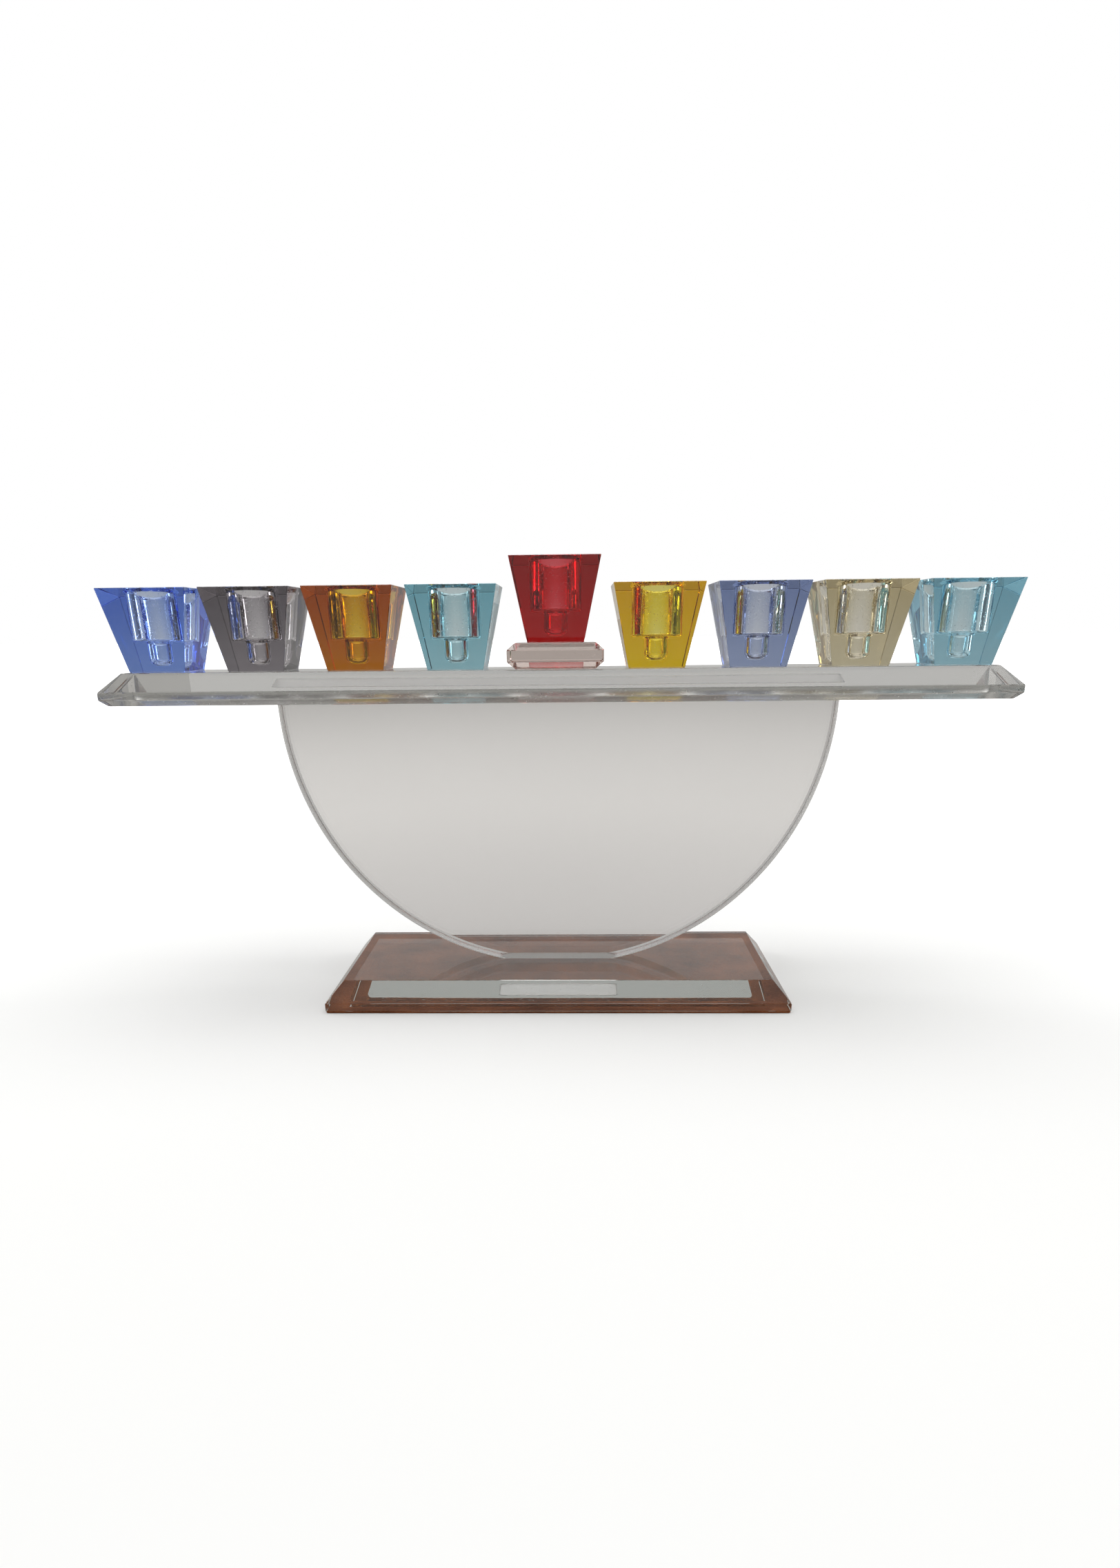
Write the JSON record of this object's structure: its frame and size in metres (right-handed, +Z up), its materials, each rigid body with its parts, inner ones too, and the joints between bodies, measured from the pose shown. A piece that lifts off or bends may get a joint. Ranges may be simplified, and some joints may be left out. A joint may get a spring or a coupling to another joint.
{
  "type": "menorah",
  "caption": "Clear cut-glass menorah: a bevelled bar on an upright half disc and base slab, with a row of coloured tapered square candle cups, the middle one raised on a block.",
  "frame": {"origin": "centre of the felt pad's underside, on the surface the object stands on", "axes": "+X along the bar, to the right as seen from the front; +Y from the front to the rear; +Z up"},
  "size_m": [0.41, 0.096, 0.2016],
  "materials": {
    "brown_felt": "short-pile felt",
    "clear_glass": "cut and polished clear lead-free crystal glass",
    "clear_adhesive": "cured clear light-set adhesive",
    "glass_cobalt_blue": "cut and polished cobalt blue glass",
    "glass_smoke_grey": "cut and polished smoke grey glass",
    "glass_amber": "cut and polished amber glass",
    "glass_light_blue": "cut and polished light blue glass",
    "glass_shamash_red": "cut and polished red glass",
    "glass_yellow": "cut and polished yellow glass",
    "glass_indigo": "cut and polished indigo glass",
    "glass_champagne": "cut and polished champagne glass",
    "glass_aqua": "cut and polished aqua glass"
  },
  "bodies": {
    "root": {"base_pad": "brown_felt", "base_slab": "clear_glass", "half_disc": "clear_glass", "top_bar": "clear_glass", "shamash_pedestal": "clear_glass", "cup_1_cobalt_blue": "glass_cobalt_blue", "cup_2_smoke_grey": "glass_smoke_grey", "cup_3_amber": "glass_amber", "cup_4_light_blue": "glass_light_blue", "cup_5_shamash_red": "glass_shamash_red", "cup_6_yellow": "glass_yellow", "cup_7_indigo": "glass_indigo", "cup_8_champagne": "glass_champagne", "cup_9_aqua": "glass_aqua", "film_disc_foot": "clear_adhesive", "film_disc_top": "clear_adhesive", "film_pedestal": "clear_adhesive", "film_cup_1": "clear_adhesive", "film_cup_2": "clear_adhesive", "film_cup_3": "clear_adhesive", "film_cup_4": "clear_adhesive", "film_cup_5": "clear_adhesive", "film_cup_6": "clear_adhesive", "film_cup_7": "clear_adhesive", "film_cup_8": "clear_adhesive", "film_cup_9": "clear_adhesive"}
  },
  "joints": []
}
